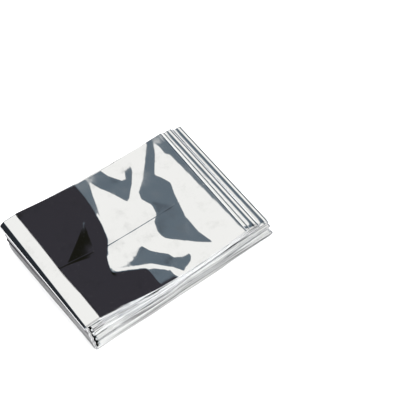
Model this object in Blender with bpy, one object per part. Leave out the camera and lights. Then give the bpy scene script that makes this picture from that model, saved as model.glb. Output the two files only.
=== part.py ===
"""Folded emergency foil blanket.

One sheet of thin metallised film. It is pleated lengthwise into a strip, and the strip is folded
back and forth into a flat stack. The model is that strip's back-and-forth section: sixteen passes,
a little apart, joined by fifteen turns, alternately at the right and at the left end. From its free
end on top the strip runs to the right and back, wraps round the left end down to the bottom, and
from there is folded back and forth upwards.

The stack lies on Z = 0 with the middle of its box over the origin. X runs from turn to turn,
Y across the strip.
"""
import math
from collections import namedtuple

import bmesh
import bpy

MM = 0.001

# Driving dimensions
STRIP_WIDTH = 88 * MM        # the sheet's 1.4 m, pleated sixteen deep
SHEET = 1.0 * MM             # one pass: the pleats pressed together
CREASE_SHIFT = 0.034         # how far the centre crease lies off the middle, as a share of the width
CREASE_DEPTH = 0.45 * MM
CREASE_SPREAD = 7 * MM       # how far from the crease the film has come back to level

# Steps of the mesh
COLUMNS = 8                  # across the strip
TOP_STEPS = 14               # along the pass on top
PASS_STEPS = 7               # along each pass below it
TURN_STEPS = 6               # round each turn

# The strip's turns in the order in which it runs, from its free end on top, in millimetres.
# side: 1 at the right end, -1 at the left. front_x, back_x: how far the turn reaches at the strip's
# front and back edges. loft: the space between the two passes it joins, against that between stacked
# turns. drift: how far the strip has slipped sideways. bow: how far the pass after it bows sideways.
Turn = namedtuple("Turn", "side front_x back_x loft drift bow")
TURNS = [
    Turn(-1, -58.4, -58.0, 1.0, 0.3, -1.2),     # free end of the pass on top
    Turn(1, 49.5, 50.5, 1.0, -0.2, 0.4),
    Turn(-1, -69.5, -69.1, 0.9, 0.5, -0.3),     # the top of the wrap round the left end
    Turn(1, 69.2, 68.9, 1.0, -1.4, 0.5),
    Turn(-1, -60.2, -63.4, 0.8, -1.6, 0.4),
    Turn(1, 67.6, 68.1, 1.1, -0.4, -0.5),
    Turn(-1, -60.8, -63.8, 0.8, 0.4, -0.6),
    Turn(1, 68.7, 67.6, 1.0, 1.2, 0.7),
    Turn(-1, -61.6, -64.2, 0.9, -0.7, 0.0),
    Turn(1, 68.6, 67.7, 1.3, 3.0, -0.4),
    Turn(-1, -62.3, -64.4, 1.3, 0.7, -0.5),
    Turn(1, 61.3, 61.6, 1.0, 2.4, 0.6),
    Turn(-1, -63.5, -64.6, 1.4, -0.4, -0.4),
    Turn(1, 60.0, 59.5, 1.3, 1.7, 0.5),
    Turn(-1, -64.4, -65.0, 1.4, 0.0, -0.6),
    Turn(1, 53.0, 53.5, 1.0, 0.6, 0.3),
    Turn(-1, -64.0, -64.2, 1.0, 0.2, 0.0),      # free end under the strip's second pass
]
PASSES = len(TURNS) - 1
LEVELS = [0, 1, *range(PASSES - 1, 1, -1)]      # where each pass lies in the stack, 0 on top

# The wrap round the left end: a nose above that overhangs the rest, a slanting wall, a smaller corner below
WRAP = 2                     # its row in the table of turns
NOSE_FRONT = 1.3 * MM        # radius of the nose at the strip's front edge
NOSE_BACK = 3.5 * MM
NOSE_TUCK = 50               # degrees by which it turns back under itself
FOOT_FRONT_X = -63.6 * MM    # reach of the lower corner
FOOT_BACK_X = -66.4 * MM
FOOT_RADIUS = 1.3 * MM
FOOT_DRIFT = -1.8 * MM       # the strip slips forward on its way down
WALL_SLANT = 12              # degrees from upright at which the wall meets it
CORNER_STEPS = 5
WALL_STEPS = 5

# The second pass comes up to the free end on top, from x = FLAP_FROM to x = FLAP_TO
FLAP_LIFT = 0.6 * MM
FLAP_FROM = -28 * MM
FLAP_TO = -58 * MM

# Height of the stack along its length, in millimetres: the turns hold the left end up
Station = namedtuple("Station", "x front_z back_z")
STATIONS = [
    Station(-58, 30.3, 30.3),
    Station(-40, 27.4, 27.5),
    Station(-14, 23.0, 24.1),
    Station(0, 21.0, 23.3),
    Station(14, 21.2, 22.7),
    Station(30, 21.6, 22.2),
    Station(48, 22.2, 21.6),
]
LEFT_PACKED = -66 * MM       # here the passes are spaced by the left turns
LEFT_EVEN = -50 * MM         # from here to RIGHT_EVEN they are spaced evenly
RIGHT_EVEN = 4 * MM
RIGHT_PACKED = 46 * MM       # from here they are spaced by the right turns
CENTRE_SHIFT = 0.15 * MM     # brings the middle of the box over the origin

# Soft troughs and ridges in the pass on top, in millimetres. They fade in the passes below it.
# x, y: the middle. long, wide: half its length and width. turned: degrees from X. rise: its height.
Fold = namedtuple("Fold", "x y long wide turned rise")
FOLDS = [
    Fold(-33, -14, 12, 8, 0, -1.2),
    Fold(-28, 17, 13, 8, -15, -0.9),
    Fold(2, -11, 15, 12, 5, 1.2),
    Fold(8, 9, 13, 11, 20, 0.5),
    Fold(28, -30, 7, 10, 0, -0.5),
    Fold(32, 15, 8, 10, 10, -0.45),
]


def mix(start, end, share):
    return start + (end - start) * share


def ease(share):
    """A soft step from 0 to 1."""
    share = min(max(share, 0.0), 1.0)
    return share * share * (3 - 2 * share)


def stack_height(x, across):
    """Height of the stack's top, on a smooth curve through the stations."""
    heights = [mix(station.front_z, station.back_z, across) * MM for station in STATIONS]
    places = [station.x * MM for station in STATIONS]
    if x <= places[0] or x >= places[-1]:
        return heights[0] if x <= places[0] else heights[-1]
    last = len(places) - 1
    k = max(i for i in range(last) if places[i] <= x)
    span = places[k + 1] - places[k]
    slopes = []
    for i in (k, k + 1):
        low, high = max(i - 1, 0), min(i + 1, last)
        slopes.append((heights[high] - heights[low]) / (places[high] - places[low]) * span)
    t = (x - places[k]) / span
    return (heights[k] * (1 + 2 * t) * (1 - t) ** 2 + slopes[0] * t * (1 - t) ** 2
            + heights[k + 1] * t * t * (3 - 2 * t) + slopes[1] * t * t * (t - 1))


def shares_at(side):
    """How high each level lies at one end, from 1 for the one on top to 0 for the one underneath."""
    spaces = [1.0] * (PASSES - 1)
    for index, turn in enumerate(TURNS[:-1]):
        if turn.side == side:
            spaces[min(LEVELS[max(index - 1, 0)], LEVELS[index])] = turn.loft
    total = sum(spaces)
    return [1 - sum(spaces[:level]) / total for level in range(PASSES)]


LEFT_SHARES = shares_at(-1)
RIGHT_SHARES = shares_at(1)


def level_share(level, x):
    even = 1 - level / (PASSES - 1)
    left = ease((LEFT_EVEN - x) / (LEFT_EVEN - LEFT_PACKED))
    right = ease((x - RIGHT_EVEN) / (RIGHT_PACKED - RIGHT_EVEN))
    return even + (LEFT_SHARES[level] - even) * left + (RIGHT_SHARES[level] - even) * right


def relief(x, y):
    """Troughs and ridges of the top, with the centre crease."""
    rise = -CREASE_DEPTH * math.exp(-abs(y + CREASE_SHIFT * STRIP_WIDTH) / (CREASE_SPREAD / 2))
    for fold in FOLDS:
        angle = math.radians(fold.turned)
        dx, dy = x - fold.x * MM, y - fold.y * MM
        along = (dx * math.cos(angle) + dy * math.sin(angle)) / (fold.long * MM)
        aside = (dy * math.cos(angle) - dx * math.sin(angle)) / (fold.wide * MM)
        rise += fold.rise * MM * math.exp(-along * along - aside * aside)
    return rise


def pass_height(index, x, y, across):
    """Height of the middle of a pass. The one underneath lies flat on Z = 0."""
    share = level_share(LEVELS[index], x)
    lowest = SHEET / 2
    top = stack_height(x, across) - lowest
    lift = FLAP_LIFT * ease((FLAP_FROM - x) / (FLAP_FROM - FLAP_TO)) if index == 1 else 0
    return mix(lowest, top, share) + share * relief(x, y) + lift


def strip_y(index, along, across):
    """Place across the stack. The crease column lies a little off the middle."""
    start, end = TURNS[index], TURNS[index + 1]
    start_drift = FOOT_DRIFT if index == WRAP else start.drift * MM
    drift = mix(start_drift, end.drift * MM, ease(along)) + start.bow * MM * math.sin(math.pi * along)
    spread = across - 0.5 - CREASE_SHIFT * math.sin(math.pi * across)
    return drift + spread * STRIP_WIDTH


def turn_reach(index, across):
    turn = TURNS[index]
    return mix(turn.front_x, turn.back_x, across) * MM


def turn_start(index, across, after):
    """Where the flat of the pass before a turn ends, or that of the pass after it begins."""
    side, reach = TURNS[index].side, turn_reach(index, across)
    if index in (0, PASSES):
        return reach
    if index == WRAP and after:
        return mix(FOOT_FRONT_X, FOOT_BACK_X, ease(across)) + SHEET / 2 + FOOT_RADIUS
    if index == WRAP:
        return reach + SHEET / 2 + mix(NOSE_FRONT, NOSE_BACK, across)
    y = strip_y(index, 0.0, across)
    first, second = (pass_height(i, reach, y, across) for i in (index - 1, index))
    return reach - side * (abs(first - second) / 2 + SHEET / 2)


def pass_point(index, along, across):
    x = mix(turn_start(index, across, True), turn_start(index + 1, across, False), along)
    y = strip_y(index, along, across)
    return x, y, pass_height(index, x, y, across)


def turn_point(index, round_share, across):
    """A point on the half circle that joins the end of one pass to the start of the next."""
    x, y, first = pass_point(index - 1, 1.0, across)
    second = pass_point(index, 0.0, across)[2]
    radius = (first - second) / 2
    angle = math.pi * round_share
    out = TURNS[index].side * abs(radius) * math.sin(angle)
    return x + out, y, second + radius + radius * math.cos(angle)


def wrap_point(index, step, across):
    """A point on the wrap, counted in steps from the flat above it to the flat below."""
    top_x, top_y, top_z = pass_point(index - 1, 1.0, across)
    foot_x, foot_y, foot_z = pass_point(index, 0.0, across)
    nose = mix(NOSE_FRONT, NOSE_BACK, across)

    def on_nose(share):
        angle = math.radians(90 + NOSE_TUCK) * share
        return top_x - nose * math.sin(angle), top_z - nose * (1 - math.cos(angle))

    def on_foot(share):
        angle = math.radians(mix(WALL_SLANT, 90, share))
        return foot_x - FOOT_RADIUS * math.cos(angle), foot_z + FOOT_RADIUS * (1 - math.sin(angle))

    if step <= CORNER_STEPS:
        x, z = on_nose(step / CORNER_STEPS)
    elif step >= CORNER_STEPS + WALL_STEPS:
        x, z = on_foot((step - CORNER_STEPS - WALL_STEPS) / CORNER_STEPS)
    else:
        share = (step - CORNER_STEPS) / WALL_STEPS
        x, z = (mix(high, low, share) for high, low in zip(on_nose(1), on_foot(0)))
    return x, mix(top_y, foot_y, ease((top_z - z) / (top_z - foot_z - FOOT_RADIUS))), z


def sheet_rows():
    """The rows of points across the strip, from its free end on top to the one inside the stack."""
    rows = []
    for index in range(PASSES):
        steps = TOP_STEPS if index == 0 else PASS_STEPS
        rows += [(pass_point, index, k / steps) for k in range(steps + 1)]
        if index + 1 == WRAP:
            rows += [(wrap_point, WRAP, k) for k in range(1, WALL_STEPS + 2 * CORNER_STEPS)]
        elif index < PASSES - 1:
            rows += [(turn_point, index + 1, k / TURN_STEPS) for k in range(1, TURN_STEPS)]
    return rows


def foil_material():
    material = bpy.data.materials.new("metallised film")
    material.use_nodes = True
    shader = material.node_tree.nodes["Principled BSDF"]
    shader.inputs["Base Color"].default_value = (0.86, 0.87, 0.89, 1)
    shader.inputs["Metallic"].default_value = 1.0
    shader.inputs["Roughness"].default_value = 0.12
    return material


def foil_sheet():
    """The sheet is laid out flat, then each of its points goes to its place in the stack."""
    rows = sheet_rows()
    bm = bmesh.new()
    bmesh.ops.create_grid(bm, x_segments=len(rows) - 1, y_segments=COLUMNS, size=1)
    for vert in bm.verts:
        place, index, share = rows[round((vert.co.x + 1) / 2 * (len(rows) - 1))]
        x, y, z = place(index, share, (vert.co.y + 1) / 2)
        vert.co = x + CENTRE_SHIFT, y, z
    mesh = bpy.data.meshes.new("foil_sheet")
    bm.to_mesh(mesh)
    bm.free()
    sheet = bpy.data.objects.new("foil_sheet", mesh)
    bpy.context.collection.objects.link(sheet)
    thickness = sheet.modifiers.new("Film", "SOLIDIFY")
    thickness.thickness = SHEET
    thickness.offset = 0
    thickness.use_even_offset = True
    mesh.materials.append(foil_material())
    mesh.shade_smooth()
    mesh.set_sharp_from_angle(angle=math.radians(50))
    return sheet


for old in list(bpy.data.objects):
    bpy.data.objects.remove(old)
foil_sheet()
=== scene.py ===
# Folded emergency foil blanket: one sheet of thin metallised film, pleated lengthwise into a strip
# of sixteen plies. From its free end on top the strip runs to the right and back, wraps round the
# left end down to the bottom, and from there is folded back and forth upwards. Lengths in millimetres
# unless a name says otherwise; everything is scaled to metres when it goes into a mesh.
import math
from collections import namedtuple

import bmesh
import bpy
import numpy as np
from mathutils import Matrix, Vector


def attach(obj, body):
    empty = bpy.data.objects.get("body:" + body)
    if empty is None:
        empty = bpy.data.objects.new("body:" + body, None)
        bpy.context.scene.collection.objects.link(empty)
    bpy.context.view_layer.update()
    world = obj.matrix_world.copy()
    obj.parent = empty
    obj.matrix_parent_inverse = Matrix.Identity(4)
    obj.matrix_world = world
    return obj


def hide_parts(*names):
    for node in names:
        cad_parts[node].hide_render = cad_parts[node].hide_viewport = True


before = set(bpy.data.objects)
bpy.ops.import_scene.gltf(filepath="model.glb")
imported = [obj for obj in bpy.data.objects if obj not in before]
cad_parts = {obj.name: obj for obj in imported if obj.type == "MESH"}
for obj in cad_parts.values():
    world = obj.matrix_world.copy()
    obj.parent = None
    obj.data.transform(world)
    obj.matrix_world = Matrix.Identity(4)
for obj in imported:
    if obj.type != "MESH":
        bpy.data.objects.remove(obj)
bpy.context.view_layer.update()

mm = 0.001
scene = bpy.context.scene


def mix(start, end, share):
    return start + (end - start) * share


def ease(share):
    # a soft step from 0 to 1
    share = np.clip(share, 0.0, 1.0)
    return share * share * (3 - 2 * share)


cameraValues = {
    "target": (48.15, 0.7, 0.0),
    "azimuth": -37.02,           # degrees, 0 looks along +Y
    "elevation": 57.67,
    "distance": 1158.0,
    "lens": 167.5, "sensor": 36,
    "clipStart": 10,
}


def makeCamera(values):
    azimuth, elevation = math.radians(values["azimuth"]), math.radians(values["elevation"])
    back = Vector((math.sin(azimuth) * math.cos(elevation),
                   -math.cos(azimuth) * math.cos(elevation), math.sin(elevation)))
    data = bpy.data.cameras.new("camera")
    data.lens = values["lens"]
    data.sensor_width = values["sensor"]
    data.clip_start = values["clipStart"] * mm
    camera = bpy.data.objects.new("camera", data)
    scene.collection.objects.link(camera)
    camera.location = (Vector(values["target"]) + back * values["distance"]) * mm
    camera.rotation_euler = back.to_track_quat("Z", "Y").to_euler()
    scene.camera = camera


makeCamera(cameraValues)
scene.view_settings.view_transform = "Standard"

# What the film mirrors, as the ceiling of a studio seen from below: X and Y are a direction's X and Y
# over its Z, so a wall is far out and the horizon endless. lean slants a patch: its Y limits rise by
# so much for each step in X. Later rows cover earlier ones.
StudioPatch = namedtuple("StudioPatch", "name fromX toX fromY toY lean soft colour")
endless = 999                    # a side on which a patch has no limit
studioPatches = [
    StudioPatch("dark flag behind", 0.545, 1.3, 0.0, endless, 0.0, 0.02, (0.036, 0.034, 0.042)),
    StudioPatch("open door", 0.57, 1.3, 0.33, endless, 0.6, 0.03, (0.010, 0.010, 0.007)),
    StudioPatch("dark wall at the left", -endless, -0.66, 0.1, endless, 0.0, 0.07, (0.022, 0.026, 0.032)),
    StudioPatch("pale wall in front", -endless, endless, -endless, -1.5, 0.0, 0.1, (0.66, 0.71, 0.75)),
    StudioPatch("softbox", -0.52, 0.46, -1.35, 0.67, 0.0, 0.012, (0.96, 0.955, 0.935)),
]
studioValues = {
    "wall": (0.127, 0.162, 0.195),       # wherever there is no patch
    "floorLight": 2.2,           # even light that matt surfaces get
    "lowestZ": 0.02,             # directions nearer the horizon than this count as this high
}


def addNode(tree, kind, settings=None, **inputs):
    # inputs are given by their names, or by their numbers as i0, i1 and so on
    node = tree.nodes.new(kind)
    for name, value in (settings or {}).items():
        setattr(node, name, value)
    for name, value in inputs.items():
        socket = node.inputs[int(name[1:])] if name[0] == "i" and name[1:].isdigit() else node.inputs[name]
        if isinstance(value, bpy.types.NodeSocket):
            tree.links.new(value, socket)
        else:
            socket.default_value = value
    return node


def mathNode(tree, operation, first, second=0.0):
    return addNode(tree, "ShaderNodeMath", {"operation": operation}, i0=first, i1=second).outputs[0]


def rangeNode(tree, value, low, high, toLow=0.0, toHigh=1.0):
    # a soft step from toLow to toHigh as value goes from low to high
    node = addNode(tree, "ShaderNodeMapRange", {"interpolation_type": "SMOOTHSTEP"})
    tree.links.new(value, node.inputs["Value"])
    node.inputs["From Min"].default_value = low
    node.inputs["From Max"].default_value = high
    node.inputs["To Min"].default_value = toLow
    node.inputs["To Max"].default_value = toHigh
    return node.outputs["Result"]


def mixColour(tree, factor, first, second):
    # the node has sockets of one name for each kind of value, so they are found by name and type
    node = tree.nodes.new("ShaderNodeMix")
    node.data_type = "RGBA"
    for name, value in (("Factor", factor), ("A", first), ("B", second)):
        isColour = name != "Factor"
        socket = [s for s in node.inputs if s.name == name and (s.type == "RGBA") == isColour][0]
        if isinstance(value, bpy.types.NodeSocket):
            tree.links.new(value, socket)
        else:
            socket.default_value = (*value, 1) if isColour else value
    return [s for s in node.outputs if s.type == "RGBA"][0]


def makeStudio(values, patches):
    world = bpy.data.worlds.new("studio")
    scene.world = world
    world.use_nodes = True
    world.cycles.sampling_method = "NONE"
    tree = world.node_tree
    tree.nodes.clear()
    seen = addNode(tree, "ShaderNodeTexCoord").outputs["Generated"]
    direction = addNode(tree, "ShaderNodeSeparateXYZ", i0=seen)
    height = mathNode(tree, "MAXIMUM", direction.outputs["Z"], values["lowestZ"])
    placeX = mathNode(tree, "DIVIDE", direction.outputs["X"], height)
    placeY = mathNode(tree, "DIVIDE", direction.outputs["Y"], height)
    colour = values["wall"]
    for patch in patches:
        edges = []
        slantY = mathNode(tree, "SUBTRACT", placeY, mathNode(tree, "MULTIPLY", placeX, patch.lean))
        for place, low, high in ((placeX, patch.fromX, patch.toX), (slantY, patch.fromY, patch.toY)):
            if low > -endless:
                edges.append(rangeNode(tree, place, low - patch.soft, low + patch.soft))
            if high < endless:
                edges.append(rangeNode(tree, place, high - patch.soft, high + patch.soft, 1.0, 0.0))
        mask = edges[0]
        for edge in edges[1:]:
            mask = mathNode(tree, "MULTIPLY", mask, edge)
        colour = mixColour(tree, mask, colour, patch.colour)
    mirrored = addNode(tree, "ShaderNodeBackground", i0=colour, i1=1.0)
    even = addNode(tree, "ShaderNodeBackground", i0=(1, 1, 1, 1), i1=values["floorLight"])
    isMatt = addNode(tree, "ShaderNodeLightPath").outputs["Is Diffuse Ray"]
    both = addNode(tree, "ShaderNodeMixShader", i0=isMatt, i1=mirrored.outputs[0], i2=even.outputs[0])
    addNode(tree, "ShaderNodeOutputWorld", i0=both.outputs[0])


makeStudio(studioValues, studioPatches)

lampValues = {"place": (-250, 300, 900), "size": 700, "watts": 0.5}


def makeLamp(values):
    data = bpy.data.lights.new("soft lamp", "AREA")
    data.size = values["size"] * mm
    data.energy = values["watts"]
    lamp = bpy.data.objects.new("soft lamp", data)
    scene.collection.objects.link(lamp)
    lamp.location = Vector(values["place"]) * mm
    lamp.rotation_euler = lamp.location.to_track_quat("Z", "Y").to_euler()
    lamp.visible_glossy = False


makeLamp(lampValues)

floorValues = {"half": 4000, "colour": (0.88, 0.88, 0.885)}


def makeFloor(values):
    bm = bmesh.new()
    bmesh.ops.create_grid(bm, x_segments=1, y_segments=1, size=values["half"] * mm)
    mesh = bpy.data.meshes.new("floor")
    bm.to_mesh(mesh)
    bm.free()
    floor = bpy.data.objects.new("floor", mesh)
    scene.collection.objects.link(floor)
    material = bpy.data.materials.new("pale floor")
    material.use_nodes = True
    shader = material.node_tree.nodes["Principled BSDF"]
    shader.inputs["Base Color"].default_value = (*values["colour"], 1)
    shader.inputs["Roughness"].default_value = 1.0
    shader.inputs["Specular IOR Level"].default_value = 0.0
    mesh.materials.append(material)


makeFloor(floorValues)
print("camera, studio and floor are in place")

stackValues = {
    "stripWidth": 88.0,
    "plies": 16,                 # the sheet's 1.4 m, pleated into the strip
    "lowest": 0.5,               # height of the middle of the pass underneath
    "aboveFloor": 0.03,          # the least height of any point of the film
    "creaseShift": 0.034,        # how far the centre crease lies off the middle, as a share of the width
    "filled": 0.86, "filledLeft": 0.78,          # how much of the space between passes their plies fill
    "centreShift": 0.15,         # brings the middle of the box over the origin
    "flapGap": 0.12,             # between the free end on top and the pass below it
    "flapThin": 0.25,            # share of its thickness that the top pass keeps at its free end
    "flapFrom": -28, "flapTo": -58,
    "leftPacked": -66.0, "leftEven": -50.0,      # where the passes are spaced by the left turns, and evenly
    "rightEven": 4.0, "rightPacked": 46.0,
}

# The strip's turns in the order in which it runs. side: 1 at the right end, -1 at the left. frontX,
# backX: how far the turn reaches at the strip's front and back edges. loft: space between the two
# passes it joins. drift: how far the strip has slipped sideways. bow: how far the pass after it bows
# sideways. crimp: depth of a small step that the pass after it takes just behind the turn.
Turn = namedtuple("Turn", "side frontX backX loft drift bow crimp")
turns = [
    Turn(-1, -58.4, -58.0, 1.0, 0.3, -1.2, 0.0),     # free end of the pass on top
    Turn(1, 49.5, 50.5, 1.0, -0.2, 0.4, 0.0),
    Turn(-1, -69.75, -69.75, 0.9, 0.5, -0.3, 0.0),   # the top of the wrap round the left end
    Turn(1, 69.2, 68.9, 1.0, -1.4, 0.5, 0.0),
    Turn(-1, -62.0, -63.8, 0.8, -1.6, 0.4, 0.0),
    Turn(1, 67.6, 68.1, 1.1, -0.4, -0.5, 0.0),
    Turn(-1, -62.6, -64.2, 0.8, 0.4, -0.6, 0.0),
    Turn(1, 68.7, 67.6, 1.0, 1.2, 0.7, 0.0),
    Turn(-1, -63.2, -64.6, 0.9, -0.7, 0.0, 0.0),
    Turn(1, 68.6, 67.7, 1.3, 3.0, -0.4, 0.04),
    Turn(-1, -63.9, -64.9, 1.3, 0.7, -0.5, 0.0),
    Turn(1, 61.3, 61.6, 1.0, 2.4, 0.6, 0.0),
    Turn(-1, -64.9, -65.2, 1.4, -0.4, -0.4, 0.0),
    Turn(1, 60.0, 59.5, 1.3, 1.7, 0.5, 0.04),
    Turn(-1, -65.6, -65.6, 1.4, 0.0, -0.6, 0.0),
    Turn(1, 53.0, 53.5, 1.0, 0.6, 0.3, 0.0),
    Turn(-1, -64.8, -64.8, 1.0, 0.2, 0.0, 0.0),      # free end under the strip's second pass
]
passes = len(turns) - 1
levels = [0, 1, *range(passes - 1, 1, -1)]       # where each pass lies in the stack, 0 on top

wrapValues = {
    "row": 2,                    # its row in the table of turns
    "footFrontX": -64.8, "footBackX": -66.0, "footRadius": 1.3,
    "footDrift": -1.8,           # the strip slips forward on its way down
    "slant": 12,                 # degrees from upright at which the wall meets the lower corner
    "wave": 0.32, "waves": 4.4,  # how far the creases in the wall bulge, and how many there are
    "wander": ((1.3, 2.1, 0.7), (0.4, 9.0, 0.0)),    # how they waver across: size, rate and start
    "rows": 56,                  # rows of points round it
    "wallFrom": 0.32, "wallTo": 0.84,                # where the wall lies, as shares of the way down
}
# the nose: arcs that follow one another, each up to the given degrees
Arc = namedtuple("Arc", "upTo frontRadius backRadius")
noseArcs = [Arc(26, 1.5, 2.5), Arc(50, 2.7, 7.4), Arc(165, 0.7, 0.7), Arc(168, 20.0, 20.0)]


def nosePoint(degrees, across):
    # how far left of the flat, and how far below it, the film has come
    left, down, done = np.zeros_like(across), np.zeros_like(across), 0.0
    for arc in noseArcs:
        radius = mix(arc.frontRadius, arc.backRadius, across)
        start, end = math.radians(min(degrees, done)), math.radians(min(degrees, arc.upTo))
        left = left + radius * (math.sin(end) - math.sin(start))
        down = down + radius * (math.cos(start) - math.cos(end))
        done = arc.upTo
    return left, down


# painted shade on the creased wall, standing in for the shadowed floor that it mirrors: how dark it is on
# the way from the flat above (share 0) to the flat below
Stripe = namedtuple("Stripe", "share frontTone backTone")
wallShadeStripes = [
    Stripe(0.00, 0.0, 0.0),
    Stripe(0.10, 0.0, 0.0),
    Stripe(0.125, 0.60, 0.60),
    Stripe(0.21, 0.80, 0.70),
    Stripe(0.32, 0.75, 0.65),
    Stripe(0.41, 0.70, 0.60),
    Stripe(0.46, 0.66, 0.45),
    Stripe(0.50, 0.70, 0.60),
    Stripe(0.54, 0.82, 0.86),
    Stripe(0.575, 0.88, 0.98),
    Stripe(0.60, 0.80, 0.92),
    Stripe(0.64, 0.70, 0.66),
    Stripe(0.73, 0.60, 0.60),
    Stripe(0.79, 0.52, 0.56),
    Stripe(0.86, 0.60, 0.70),
    Stripe(1.00, 0.80, 0.90),
]
# how the painted shade stripes run across the wall
wallShadeValues = {
    "slant": 0.17, "slantTo": 0.85,      # the stripes rise towards the front from this place across
    "wave": 0.012, "waves": 17,          # how far they waver on the way, and how often
    "ease": 0.1,                         # share of the way down over which both set in
    "blend": 1.6,                        # how soon the front shades give way to the back ones
}


def wallPaintedShade(share, across):
    # the painted shade on the wall's outer film at a share of the way down
    values = wallShadeValues
    wander = values["slant"] * np.maximum(values["slantTo"] - across, 0)
    wander = wander + values["wave"] * np.sin(values["waves"] * across)
    wander = wander * ease((share - wrapValues["wallFrom"]) / values["ease"])
    shares = [stripe.share for stripe in wallShadeStripes]
    front = np.interp(share + wander, shares, [stripe.frontTone for stripe in wallShadeStripes])
    back = np.interp(share + wander, shares, [stripe.backTone for stripe in wallShadeStripes])
    return mix(front, back, ease(values["blend"] * across))


# height of the stack along its length, at its front and back edges
Station = namedtuple("Station", "x frontZ backZ")
stations = [
    Station(-58, 30.3, 30.3),
    Station(-40, 27.4, 27.5),
    Station(-14, 23.0, 24.1),
    Station(0, 21.0, 23.15),
    Station(14, 21.2, 22.7),
    Station(30, 21.6, 22.2),
    Station(48, 22.2, 21.6),
]


def throughStations(x, heights):
    # a smooth curve through the stations' heights
    places = np.array([station.x for station in stations], float)
    heights = np.array(heights, float)
    slopes = np.gradient(heights, places)
    x = np.clip(x, places[0], places[-1])
    k = np.clip(np.searchsorted(places, x, side="right") - 1, 0, len(places) - 2)
    span = places[k + 1] - places[k]
    t = (x - places[k]) / span
    return (heights[k] * (1 + 2 * t) * (1 - t) ** 2 + slopes[k] * span * t * (1 - t) ** 2
            + heights[k + 1] * t * t * (3 - 2 * t) + slopes[k + 1] * span * t * t * (t - 1))


def stackHeight(x, across):
    front = throughStations(x, [station.frontZ for station in stations])
    back = throughStations(x, [station.backZ for station in stations])
    return mix(front, back, across)


def sharesAt(side):
    # how high each level lies at one end, from 1 on top to 0 underneath, and a plain space as a share
    spaces = [1.0] * (passes - 1)
    for index, turn in enumerate(turns[:-1]):
        if turn.side == side:
            spaces[min(levels[max(index - 1, 0)], levels[index])] = turn.loft
    return [1 - sum(spaces[:level]) / sum(spaces) for level in range(passes)], 1 / sum(spaces)


leftShares, leftSpace = sharesAt(-1)
rightShares, rightSpace = sharesAt(1)


def nearLeft(x):
    # 0 where the passes are spaced evenly, 1 where the turns at the left end space them
    values = stackValues
    return ease((values["leftEven"] - x) / (values["leftEven"] - values["leftPacked"]))


def nearRight(x):
    # the same for the right end
    values = stackValues
    return ease((x - values["rightEven"]) / (values["rightPacked"] - values["rightEven"]))


def passShare(index, x):
    # how high a pass lies in the stack, from 1 on top to 0 underneath
    level = levels[index]
    even = 1 - level / (passes - 1)
    return even + (leftShares[level] - even) * nearLeft(x) + (rightShares[level] - even) * nearRight(x)


def passSpace(x, across):
    # the height from one pass to the next
    even = 1 / (passes - 1)
    space = even + (leftSpace - even) * nearLeft(x) + (rightSpace - even) * nearRight(x)
    return space * (stackHeight(x, across) - 2 * stackValues["lowest"])


def passThickness(x, across):
    # how thick the pressed plies are; at the left end they leave more air between the passes
    return passSpace(x, across) * mix(stackValues["filled"], stackValues["filledLeft"], nearLeft(x))


def nearFlapEnd(x):
    values = stackValues
    return ease((values["flapFrom"] - x) / (values["flapFrom"] - values["flapTo"]))


def flapShare(x):
    # how thick the top pass still is, as a share of the others, towards its free end
    return mix(1.0, stackValues["flapThin"], nearFlapEnd(x))


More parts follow.
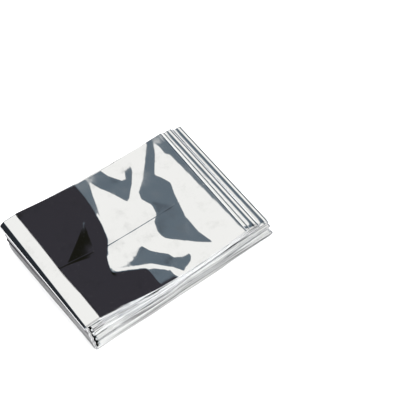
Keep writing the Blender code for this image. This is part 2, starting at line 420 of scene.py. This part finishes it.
# Thin film under light pull lies in nearly flat facets that meet in soft creases. Each row is one facet:
# its outline, and how steeply it may fall towards +X and towards +Y. A facet may have a second choice.
# Later rows cover earlier ones. The film is then relaxed into one surface that keeps to them all.
Facet = namedtuple("Facet", "name outline falls")
Fall = namedtuple("Fall", "leastX mostX leastY mostY")
gentle = [Fall(-0.14, 0.02, -0.15, 0.035)]
steep = [Fall(0.155, 0.26, -0.15, 0.035)]
facets = [
    Facet("whole top", [(-70, 60), (60, 60), (60, -60), (-70, -60)], gentle),
    Facet("long fall from the left", [
        (-70, 60), (-13, 60), (-15, 36), (-16.5, 28), (-17, 20), (-19, 10), (-22, 0), (-25, -4.5),
        (-27, -6.5), (-30, -10), (-32, -15), (-34, -20), (-33.5, -21.8), (-12, -31), (-4, -38),
        (-3, -60), (-70, -60)], steep),
    Facet("lobe", [
        (-27, -6.5), (-30, -10), (-32, -15), (-34, -20), (-32, -20.6), (-20, -20), (-9, -18),
        (0, -18), (0, -6.5)], [Fall(-0.14, 0.005, -0.14, 0.03)]),
    Facet("edge of the long fall", [
        (-16.5, 50), (-6, 50), (-7.5, 39), (-11, 30), (-16.6, 13), (-17.2, 22), (-16, 36)],
        [Fall(0.078, 0.094, -0.03, 0.08)]),
    Facet("dent", [
        (-53.5, -3.3), (-33.8, -8.0), (-31.6, -3.0), (-30.4, 5), (-26, 18.5)],
        [Fall(0.12, 0.20, 0.08, 0.12)]),
    Facet("beside the dent", [
        (-34, -5), (-32, 0), (-27, 18), (-20, 14), (-19, 10), (-22, 0), (-25, -4.5)],
        [Fall(0.13, 0.22, -0.10, 0.01)]),
    Facet("front wedge", [
        (-32.5, -20.9), (-20, -20.4), (-15, -19.6), (-8.6, -16.6), (-6, -21), (-2, -25.5), (2, -29),
        (3, -33), (8, -35.5), (13, -35), (12, -38.5), (9, -41), (2, -44), (-2, -38), (-11, -29.3),
        (-31.5, -21.2)], [Fall(0.070, 0.086, -0.12, 0.04)]),
    Facet("beside the front wedge", [(-15, -30), (-12, -31.5), (-4, -38.5), (-2, -60), (-15, -60)],
        [Fall(0.062, 0.082, -0.10, 0.05)]),
    Facet("ridge before the front wedge", [
        (-32.5, -21.2), (-32, -22.2), (-12, -31.5), (-4, -38.5), (-3, -37), (-11, -30), (-31, -21.1)],
        gentle),
    Facet("back wedge", [
        (-8, 40), (3, 14.5), (6, 16), (12, 22), (19, 31), (21, 35), (15, 33.5), (12, 29), (9, 29.5),
        (5, 37), (2, 50), (-10, 50)], [Fall(0.066, 0.080, -0.03, 0.08)]),
    Facet("long band", [
        (30, 33), (22, 24.5), (13, 17), (11, 11), (14, 4), (12.5, -3), (8, -7), (6, -13), (6, -20),
        (10, -24), (20, -33), (28, -38.5), (26, -28), (25.5, -15), (28, -5), (30, 3), (33, 11),
        (31, 17), (28.5, 21)], [Fall(0.054, 0.068, -0.03, 0.08)]),
    Facet("end of the long band", [
        (38, 42), (30, 33), (22, 24.5), (28.5, 21), (33, 27), (38, 33.5), (41, 39), (44, 50), (40, 50)],
        [Fall(0.058, 0.070, -0.03, 0.08)]),
    Facet("roll into the turn", [
        (44.5, 28), (45.5, 10), (46.5, -15), (47.7, -45), (47.7, -60), (60, -60), (60, 60), (40, 60),
        (41, 42), (43, 36), (42.5, 30)], [Fall(0.036, 0.052, -0.05, 0.08)]),
    Facet("beyond the turn", [(50, 60), (70, 60), (70, -60), (50, -60)], [Fall(-0.3, 0.02, -0.15, 0.035)]),
]
topValues = {
    "steps": (1.0, 0.5),         # of the grids that are relaxed, the second from what the first comes to
    "rounds": (300, 90),
    "solverSteps": 60, "solverDone": 1e-9,       # most steps in each round, and the error that is enough
    "fromX": -66, "toX": 56, "halfY": 46,
    "fade": 5,                   # the relief fades out over this length before toX
    "pull": 1.5,                 # how hard a facet pulls back a slope that it doesn't allow
    "hold": 0.0008,              # how firmly the film is held at the stack's height
    "holdEdge": 0.01, "edge": 2,         # the same along its long edges, and how wide they are
    "holdRight": 0.05, "right": 52,      # the same beyond this x
    "under": 0.06, "underFrom": -58,     # how far under its lowest place hidden film lies, and from which x
    "underEase": 4,              # length over which that sets in
    "stripLevel": -56.6,         # left of this the passes below keep one height
    "stripEase": 3,              # length before it over which they lose the relief
}


def insideOutline(x, y, outline):
    inside = np.zeros(x.shape, bool)
    for (x1, y1), (x2, y2) in zip(outline, outline[1:] + outline[:1]):
        if y1 != y2:
            inside ^= ((y1 > y) != (y2 > y)) & (x < (x2 - x1) * (y - y1) / (y2 - y1) + x1)
    return inside


def settle(values, z, rest, hold, fallX, fallY, step):
    # conjugate gradients: heights whose slopes come nearest to the falls, held softly to the rest height
    def spread(heights):
        out = hold * heights
        change = heights[1:] - heights[:-1]
        out[1:] += change
        out[:-1] -= change
        change = heights[:, 1:] - heights[:, :-1]
        out[:, 1:] += change
        out[:, :-1] -= change
        return out

    target = hold * rest
    drop = -(fallX[1:] + fallX[:-1]) / 2 * step
    target[1:] += drop
    target[:-1] -= drop
    drop = -(fallY[:, 1:] + fallY[:, :-1]) / 2 * step
    target[:, 1:] += drop
    target[:, :-1] -= drop
    left = target - spread(z)
    move = left.copy()
    size = (left * left).sum()
    for _ in range(values["solverSteps"]):
        spreadMove = spread(move)
        length = size / (move * spreadMove).sum()
        z = z + length * move
        left = left - length * spreadMove
        newSize = (left * left).sum()
        if newSize < values["solverDone"]:
            break
        move = left + newSize / size * move
        size = newSize
    return z


def nearestFall(x, y, falls):
    # the slopes nearest to x and y that one of the falls allows
    nearest = np.full(x.shape, np.inf)
    newX, newY = x.copy(), y.copy()
    for fall in falls:
        allowedX = np.clip(x, fall.leastX, fall.mostX)
        allowedY = np.clip(y, fall.leastY, fall.mostY)
        far = (allowedX - x) ** 2 + (allowedY - y) ** 2
        near = far < nearest
        nearest[near] = far[near]
        newX[near], newY[near] = allowedX[near], allowedY[near]
    return newX, newY


def relaxTop(values, step, rounds, coarse, coarseStep):
    # the relief over the stack's height, starting from a coarser one if there is one
    alongX = np.arange(values["fromX"], values["toX"] + step / 2, step)
    alongY = np.arange(-values["halfY"], values["halfY"] + step / 2, step)
    gridX, gridY = np.meshgrid(alongX, alongY, indexing="ij")
    owner = np.zeros(gridX.shape, int)
    for number, facet in enumerate(facets):
        owner[insideOutline(gridX, gridY, facet.outline)] = number
    rest = stackHeight(gridX, gridY / stackValues["stripWidth"] + 0.5)
    hold = np.full(gridX.shape, values["hold"] * step * step)
    edge = round(values["edge"] / step)
    hold[:, :edge] = hold[:, -edge:] = values["holdEdge"] * step
    hold[gridX > values["right"]] = values["holdRight"] * step
    z = rest + (0 if coarse is None else lookUp(coarse, coarseStep, gridX, gridY))
    for _ in range(rounds):
        fallX = -np.gradient(z, step, axis=0)
        fallY = -np.gradient(z, step, axis=1)
        for number, facet in enumerate(facets):
            own = owner == number
            newX, newY = nearestFall(fallX[own], fallY[own], facet.falls)
            fallX[own] = mix(fallX[own], newX, values["pull"])
            fallY[own] = mix(fallY[own], newY, values["pull"])
        z = settle(values, z, rest, hold, fallX, fallY, step)
    # the creases between facets are softened a little, first along X and then along Y
    z[1:-1] = (z[2:] + 2 * z[1:-1] + z[:-2]) / 4
    z[:, 1:-1] = (z[:, 2:] + 2 * z[:, 1:-1] + z[:, :-2]) / 4
    return (z - rest) * ease((values["toX"] - gridX) / values["fade"])


def lookUp(relief, step, x, y):
    # smooth look-up in a relaxed grid, kept just inside its last row and column
    countX, countY = relief.shape
    inside = 1.001
    placeX = np.clip((x - topValues["fromX"]) / step, 0, countX - inside)
    placeY = np.clip((y + topValues["halfY"]) / step, 0, countY - inside)
    i, j = placeX.astype(int), placeY.astype(int)

    def through(p0, p1, p2, p3, t):
        bend = 2 * p0 - 5 * p1 + 4 * p2 - p3 + t * (3 * (p1 - p2) + p3 - p0)
        return p1 + 0.5 * t * (p2 - p0 + t * bend)

    def at(stepX, stepY):
        return relief[np.clip(i + stepX, 0, countX - 1), np.clip(j + stepY, 0, countY - 1)]

    lines = [through(*[at(a, b) for b in (-1, 0, 1, 2)], placeY - j) for a in (-1, 0, 1, 2)]
    return through(*lines, placeX - i)


topRelief, reliefStep = None, None
for step, rounds in zip(topValues["steps"], topValues["rounds"]):
    topRelief = relaxTop(topValues, step, rounds, topRelief, reliefStep)
    reliefStep = step
print("top relaxed, relief from %.2f to %.2f mm" % (topRelief.min(), topRelief.max()))


def reliefAt(x, y):
    return lookUp(topRelief, reliefStep, x, y)


def lowRelief(x):
    # just under the lowest place of the relief at each x, for what lies hidden below it
    values = topValues
    gridX = values["fromX"] + reliefStep * np.arange(len(topRelief))
    shown = ease((gridX - values["underFrom"]) / values["underEase"])
    low = topRelief.min(axis=1) - values["under"] * shown
    return np.interp(x, gridX, low)


creaseValues = {
    "depth": 0.035, "half": 0.4,
    "vary": 0.3, "waves": (3, 11),               # how its depth varies along the strip
}


def creaseDepth(x, across):
    # the soft crease along the middle of the strip
    values = creaseValues
    off = (across - 0.5) * stackValues["stripWidth"] / values["half"]
    short, long = values["waves"]
    vary = values["vary"] * np.sin(x / short) * np.sin(x / long)
    return values["depth"] * (1 - values["vary"] + vary) * np.exp(-off * off)


crimpValues = {"near": 1.8, "far": 2.2}      # distances from the turn between which the step falls


def passHeight(index, x, y, across, ply):
    # what shows on top follows the relief; what it hides does so only at the strip's edges
    share = passShare(index, x)
    lowest = stackValues["lowest"]
    levelX, onStrip = x, 0.0
    if index > 0:
        levelX = np.maximum(x, topValues["stripLevel"])
        onStrip = ease((topValues["stripLevel"] + topValues["stripEase"] - x) / topValues["stripEase"])
    follows = (across == 0) | (across == 1) | ((ply == 0) & (index == 0))
    low = lowRelief(levelX)
    relief = np.where(follows, mix(reliefAt(levelX, y), low, onStrip), low) - creaseDepth(x, across)
    z = mix(lowest, stackHeight(levelX, across) - lowest, share) + share * relief
    if index == 1:
        # it comes up to the thin end of the pass above
        space = passSpace(x, across) - passThickness(x, across) * flapShare(x)
        z = z + (space - stackValues["flapGap"]) * nearFlapEnd(x)
    return z


def stripY(index, along, across):
    start, end = turns[index], turns[index + 1]
    startDrift = wrapValues["footDrift"] if index == wrapValues["row"] else start.drift
    drift = mix(startDrift, end.drift, ease(along)) + start.bow * np.sin(np.pi * along)
    spread = across - 0.5 - stackValues["creaseShift"] * np.sin(np.pi * across)
    return drift + spread * stackValues["stripWidth"]


# the wavy free end of the pass on top, as shifts of its straight line
EndPoint = namedtuple("EndPoint", "y shift")
freeEnd = [EndPoint(-43.6, 0.1), EndPoint(-37.2, 0.9), EndPoint(-30.5, 1.5), EndPoint(-18.3, -0.1),
           EndPoint(-2.4, -0.6), EndPoint(4.7, -0.4), EndPoint(24.0, 0.0), EndPoint(43.8, 0.1)]


def turnReach(index, across):
    reach = mix(turns[index].frontX, turns[index].backX, across)
    if index == 0:
        y = (across - 0.5) * stackValues["stripWidth"]
        reach = reach + np.interp(y, [point.y for point in freeEnd], [point.shift for point in freeEnd])
    return reach


def turnStart(index, across, ply, after):
    # where the flat of the pass before a turn ends, or that of the pass after it begins
    turn, reach = turns[index], turnReach(index, across)
    if index in (0, passes):
        return reach
    if index == wrapValues["row"]:
        values = wrapValues
        if after:
            reach = mix(values["footFrontX"], values["footBackX"], ease(across))
            return reach + passThickness(reach, across) / 2 + values["footRadius"]
        noseLength = nosePoint(90, across)[0]        # it reaches furthest where it is upright
        return reach + passThickness(reach, across) / 2 + noseLength
    y = stripY(index, 0.0, across)
    first = passHeight(index - 1, reach, y, across, ply)
    second = passHeight(index, reach, y, across, ply)
    return reach - turn.side * (np.abs(first - second) / 2 + passThickness(reach, across) / 2)


def passRow(index, along, across, ply):
    start = turnStart(index, across, ply, True)
    x = mix(start, turnStart(index + 1, across, ply, False), along)
    y = stripY(index, along, across)
    z = passHeight(index, x, y, across, ply)
    if turns[index].crimp:
        behind = (crimpValues["far"] - np.abs(x - start)) / (crimpValues["far"] - crimpValues["near"])
        z = z - turns[index].crimp * ease(behind)
    # the side that faces up in the pass on top faces down in every other pass
    up = 1.0 if index % 2 == 0 else -1.0
    return x, y, z, np.zeros_like(x), np.full_like(x, up)


def turnRow(index, share, across, ply):
    turn = turns[index]
    x, y, first = passRow(index - 1, 1.0, across, ply)[:3]
    second = passRow(index, 0.0, across, ply)[2]
    radius = (first - second) / 2
    angle = math.pi * share
    x = x + turn.side * np.abs(radius) * math.sin(angle)
    z = second + radius + radius * math.cos(angle)
    return x, y, z, np.sign(radius) * math.sin(angle), np.full_like(x, turn.side * math.cos(angle))


def wrapRow(index, share, across, ply):
    # a nose above that overhangs the rest, a slanting wall, a smaller corner below
    values = wrapValues
    topX, topY, topZ = passRow(index - 1, 1.0, across, ply)[:3]
    footX, footY, footZ = passRow(index, 0.0, across, ply)[:3]
    radius = values["footRadius"]

    def onNose(part):
        degrees = noseArcs[-1].upTo * part
        left, down = nosePoint(degrees, across)
        return (topX - left, topZ - down, np.full_like(topX, -math.cos(math.radians(degrees))),
                np.full_like(topX, -math.sin(math.radians(degrees))))

    def onFoot(part):
        angle = math.radians(mix(values["slant"], 90, part))
        return (footX - radius * math.cos(angle), footZ + radius * (1 - math.sin(angle)),
                np.full_like(topX, radius * math.sin(angle)), np.full_like(topX, -radius * math.cos(angle)))

    part = (share - values["wallFrom"]) / (values["wallTo"] - values["wallFrom"])
    if part < 0:
        x, z, alongX, alongZ = onNose(share / values["wallFrom"])
    elif part > 1:
        x, z, alongX, alongZ = onFoot((share - values["wallTo"]) / (1 - values["wallTo"]))
    else:
        (highX, highZ), (lowX, lowZ) = onNose(1)[:2], onFoot(0)[:2]
        x, z, alongX, alongZ = mix(highX, lowX, part), mix(highZ, lowZ, part), lowX - highX, lowZ - highZ
        wander = sum(size * np.sin(rate * across + start) for size, rate, start in values["wander"])
        bulge = values["wave"] * math.sin(math.pi * part) ** 0.5         # none at either end of the wall
        x = x + bulge * np.sin(2 * math.pi * values["waves"] * part + wander)
    size = np.hypot(alongX, alongZ)
    y = mix(topY, footY, ease((topZ - z) / (topZ - footZ - radius)))
    return x, y, z, -alongZ / size, alongX / size


sheetValues = {
    "rowsTop": 36,               # rows along the pass on top
    "rowsUnder": 24,             # along the one below it
    "rowsDeep": 8,               # along the rest
    "rowsNearLeft": (0.3, 1.2, 4.5), "rowsNearRight": (0.15, 0.6, 1.2, 4.5),     # distances from the turns
    # the same beside the free end
    "rowsOnStrip": (0.3, 1.2, 2.4, 3.6, 4.8, 5.8, 6.6, 7.4, 8.2, 9, 9.8, 10.6),
    "rowsTurn": 7,
    "columnsTop": 24,            # across the ply that shows on top
    "topCuts": 5,                # into how many more parts its faces are cut
    "between": 0.01,             # a point this far from a row or column lies between them
    "columnsOuter": 19,          # across the ply on the outside of the wrap and of the right turns
    "creaseColumns": (-0.8, -0.3, 0.0, 0.3, 0.8),        # distances from the middle, in both of these plies
    "creaseRoom": 1.6,           # nearer the middle than this they have no other columns
    "edgeColumn": 0.02,          # every other ply has only its edges and a column this far in, as a share
    "rimColumn": 0.004,          # the same for the plies that show
    "puff": 0.34,                # how far a pleat's fold springs open, as a share of a ply's space
    "noseOut": 0.07,             # how far the fold's nose stands out
    "raggedFront": 0.5, "raggedBack": 0.25,      # how unevenly the pleats lie at the long edges
    "raggedFrom": 0.30,          # distance from the middle where that begins, as a share
    "paintedShadeMean": 0.24, "paintedShadeSpread": 0.34,        # how dark the painted shade in the long edges' folds is
    "paintedShadeBeside": 0.6,           # the share of it that the film beside a fold has
    "seed": 12,
    "drawsPerPass": 3, "spareDraws": 4,          # places along a pass where the unevenness is drawn
    "backFolds": 20,             # number of the first fold at the back; those at the front start from 0
}


Row = namedtuple("Row", "kind index along")


def sheetRows(values):
    # the rows of points along the strip: what makes them, which pass or turn, and how far along it
    rows = []
    middle, hiddenPly = np.array([0.5]), 1
    for index in range(passes):
        count = [values["rowsTop"], values["rowsUnder"]][index] if index < 2 else values["rowsDeep"]
        begins = turnStart(index, middle, hiddenPly, True)[0]
        length = abs(turnStart(index + 1, middle, hiddenPly, False)[0] - begins)
        left = list(values["rowsOnStrip" if index == 1 else "rowsNearLeft"])
        right = list(values["rowsNearRight"])
        if turns[index].crimp:
            right = sorted(right + [crimpValues["near"], crimpValues["far"]])
        near, far = (left, right) if index % 2 == 0 else (right, left)
        places = [0.0, *[distance / length for distance in near]]
        ends = [*[1 - distance / length for distance in far[::-1]], 1.0]
        places += [*np.linspace(places[-1], ends[0], count)[1:-1], *ends]
        rows += [Row(passRow, index, place) for place in places]
        if index < passes - 1:
            isWrap = index + 1 == wrapValues["row"]
            count, kind = (wrapValues["rows"], wrapRow) if isWrap else (values["rowsTurn"], turnRow)
            rows += [Row(kind, index + 1, k / count) for k in range(1, count)]
    return rows


def sheetColumns(values):
    # for each column: its ply, its place across, and whether it is the nose of the fold to the next ply
    plies, acrosses, noses = [], [], []
    width = stackValues["stripWidth"]
    for ply in range(stackValues["plies"]):
        places = [0, values["edgeColumn"], 1 - values["edgeColumn"], 1]
        if ply in (0, stackValues["plies"] - 1):
            crease = [0.5 + offset / width for offset in values["creaseColumns"]]
            places = np.linspace(0, 1, values["columnsTop"] if ply == 0 else values["columnsOuter"])
            rim = [values["rimColumn"], 1 - values["rimColumn"]]
            places = [place for place in places if abs(place - 0.5) > values["creaseRoom"] / width]
            places = sorted(places + crease + rim)
        if ply % 2:
            places.reverse()
        for place in places:
            plies.append(ply)
            acrosses.append(place)
            noses.append(False)
        if ply < stackValues["plies"] - 1:
            plies.append(ply)
            acrosses.append(places[-1])
            noses.append(True)
    return np.array(plies), np.array(acrosses), np.array(noses)


class Unevenness:
    # one for each fold of each edge, which the plies joined there share
    def __init__(self, values):
        rng = np.random.default_rng(values["seed"])
        size = 2 * values["backFolds"], passes * values["drawsPerPass"] + values["spareDraws"]
        self.shift = rng.normal(size=size)
        # and how strong the painted shade of each fold is
        self.tone = rng.normal(size=size)

    def at(self, table, edge, where):
        k = np.floor(where).astype(int)
        return mix(table[edge, k], table[edge, k + 1], ease(where - k))


uneven = Unevenness(sheetValues)


def filmPoints(values, kind, index, along, ply, across, nose):
    # the points of one row, or of any part of one pass when along varies, and how much painted shade the
    # film gets there
    last = stackValues["plies"] - 1
    space = 1 / last
    place = 0.5 - ply * space
    # a fold springs open at its own edge: odd plies rise at the front, even plies at the back
    puff = values["puff"] * space * np.where(ply % 2 == 1, 1, -1) * np.cos(np.pi * across)
    place = np.where(nose, 0.5 - (ply + 0.5) * space, place + np.where((ply == 0) | (ply == last), 0, puff))
    backFold = values["backFolds"]
    lastBackFold = backFold + last // 2
    edge = np.where(across < 0.5, (ply + 1) // 2, ply // 2 + backFold)
    outward = np.where(across < 0.5, -1.0, 1.0)
    nearEdge = ease((np.abs(across - 0.5) - values["raggedFrom"]) / (0.5 - values["raggedFrom"]))
    ragged = np.where(across < 0.5, values["raggedFront"], values["raggedBack"])
    beside = ((across == 0) | (across == 1)) * (ply > 0) * (ply < last)
    shadeAtEdge = np.where(nose, 1.0, values["paintedShadeBeside"] * beside)
    x, y, z, normalX, normalZ = kind(index, along, across, ply)
    thickness = passThickness(x, across)
    run = along if kind is passRow else 0.0
    where = values["drawsPerPass"] * (index + run) + np.zeros_like(across)
    shift = uneven.at(uneven.shift, edge, where)
    # at the back the outermost folds cover the others
    shift = np.where(across < 0.5, shift, -np.abs(shift) * (edge > backFold) * (edge < lastBackFold))
    y = y + outward * nearEdge * ragged * shift + outward * nose * values["noseOut"]
    offset = place * thickness
    if kind is passRow and index == 0:
        offset = thickness / 2 - (0.5 - place) * thickness * flapShare(x)
    points = np.stack([x + normalX * offset + stackValues["centreShift"], y,
                       np.maximum(z + normalZ * offset, stackValues["aboveFloor"])], -1)
    spread = values["paintedShadeSpread"] * uneven.at(uneven.tone, edge, where)
    # painted shade: full on a fold's nose, a share of it on the film beside the fold
    tone = shadeAtEdge * np.clip(values["paintedShadeMean"] + spread, 0, 1)
    # the wall's outer ply takes the painted shade stripes instead
    if kind is wrapRow:
        tone = np.where(ply == last, wallPaintedShade(along, across), tone)
    return points, tone


filmValues = {
    # the last colour is that of the painted shade in the folds and on the wall
    "tone": (0.90, 0.905, 0.905), "toneWorn": (0.80, 0.805, 0.80), "paintedShadeColour": (0.052, 0.048, 0.056),
    "smooth": 0.045, "worn": 0.09,       # roughness
    "haze": {"Scale": 90.0, "Detail": 5.0, "Roughness": 0.6},
    "hazeTone": (0.5, 0.8), "hazeRough": (0.40, 0.75),   # values of the haze over which each one changes
    "soft": {"Scale": 75.0, "Detail": 2.0, "Roughness": 0.5}, "softHeight": 1.2,
    "fine": {"Scale": 420.0, "Detail": 3.0, "Roughness": 0.5}, "fineHeight": 0.25,
    "rippleDepth": 0.02,
}


def filmMaterial(values):
    material = bpy.data.materials.new("metallised film")
    material.use_nodes = True
    tree = material.node_tree
    shader = tree.nodes["Principled BSDF"]
    shader.inputs["Metallic"].default_value = 1.0
    where = addNode(tree, "ShaderNodeTexCoord").outputs["Object"]
    haze = addNode(tree, "ShaderNodeTexNoise", Vector=where, **values["haze"]).outputs["Fac"]
    amount = rangeNode(tree, haze, *values["hazeTone"])
    colour = mixColour(tree, amount, values["tone"], values["toneWorn"])
    # painted shade: the attribute darkens both the colour and the reflection in the folds and on the wall
    edge = addNode(tree, "ShaderNodeAttribute", {"attribute_name": "paintedShade"}).outputs["Fac"]
    colour = mixColour(tree, edge, colour, values["paintedShadeColour"])
    tree.links.new(colour, shader.inputs["Base Color"])
    tree.links.new(mixColour(tree, edge, (1, 1, 1), values["paintedShadeColour"]), shader.inputs["Specular Tint"])
    rough = rangeNode(tree, haze, *values["hazeRough"], values["smooth"], values["worn"])
    tree.links.new(rough, shader.inputs["Roughness"])
    fine = addNode(tree, "ShaderNodeTexNoise", Vector=where, **values["fine"]).outputs["Fac"]
    soft = addNode(tree, "ShaderNodeTexNoise", Vector=where, **values["soft"]).outputs["Fac"]
    height = mathNode(tree, "ADD", mathNode(tree, "MULTIPLY", soft, values["softHeight"]),
                      mathNode(tree, "MULTIPLY", fine, values["fineHeight"]))
    bump = addNode(tree, "ShaderNodeBump", Strength=1.0, Distance=values["rippleDepth"] * mm, Height=height)
    tree.links.new(bump.outputs["Normal"], shader.inputs["Normal"])
    return material


def makeGrid(values, rowCount, columnCount, topRows, topColumns):
    # the sheet laid flat, each vertex at its row and column, with the ply on top divided finely
    bm = bmesh.new()
    bmesh.ops.create_grid(bm, x_segments=rowCount - 1, y_segments=columnCount - 1, size=1)
    for vert in bm.verts:
        vert.co = (vert.co.x + 1) / 2 * (rowCount - 1), (vert.co.y + 1) / 2 * (columnCount - 1), 0

    def onTop(face):
        middle = face.calc_center_median()
        return middle.x < topRows and middle.y < topColumns

    edges = [edge for edge in bm.edges if any(onTop(face) for face in edge.link_faces)]
    bmesh.ops.subdivide_edges(bm, edges=edges, cuts=values["topCuts"], use_grid_fill=True)
    return bm


def makeSheet(values):
    rows = sheetRows(values)
    ply, across, nose = sheetColumns(values)
    table = [filmPoints(values, *row, ply, across, nose) for row in rows]
    # each row also brings the painted shade of its points
    points, paintedShades = np.array([row[0] for row in table]), np.array([row[1] for row in table])
    rowCount, columnCount = paintedShades.shape
    # the last row and column of the ply on top, without the nose beside it
    topRows = sum(1 for row in rows if row.index == 0) - 1
    topColumns = int(((ply == 0) & ~nose).sum()) - 1
    bm = makeGrid(values, rowCount, columnCount, topRows, topColumns)
    # the fine points are worked out from their places between the rows and columns
    places = np.array([vert.co[:2] for vert in bm.verts])
    whole = np.rint(places).astype(int)
    row, column = whole.T
    isFine = np.abs(places - whole).max(axis=1) > values["between"]
    along = np.interp(places[:, 0], range(topRows + 1), [row.along for row in rows[:topRows + 1]])
    acrossAll = np.interp(places[:, 1], range(topColumns + 1), across[:topColumns + 1])
    fine, finePaintedShades = filmPoints(values, passRow, 0, along[isFine], np.zeros(isFine.sum(), int),
                                 acrossAll[isFine], np.zeros(isFine.sum(), bool))
    allPoints, allPaintedShades = points[row, column], paintedShades[row, column]
    allPoints[isFine], allPaintedShades[isFine] = fine, finePaintedShades
    # each point keeps its painted shade as an attribute
    paintedShade = bm.verts.layers.float.new("paintedShade")
    for vert, point, tone in zip(bm.verts, allPoints * mm, allPaintedShades):
        vert.co = point
        vert[paintedShade] = tone
    mesh = bpy.data.meshes.new("foil blanket")
    bm.to_mesh(mesh)
    bm.free()
    mesh.shade_smooth()
    mesh.materials.append(filmMaterial(filmValues))
    sheet = bpy.data.objects.new("foil_blanket", mesh)
    scene.collection.objects.link(sheet)
    mesh.calc_loop_triangles()
    area = sum(face.area for face in mesh.polygons)
    strip = np.linalg.norm(np.diff(points[:, len(ply) // 2], axis=0), axis=1).sum()
    print("sheet: %d rows by %d columns, %d triangles, %.2f m long, %.3f square metres" % (
        rowCount, columnCount, len(mesh.loop_triangles), strip * mm, area))
    return sheet


blanket = makeSheet(sheetValues)
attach(blanket, "root")
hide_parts("foil_sheet")
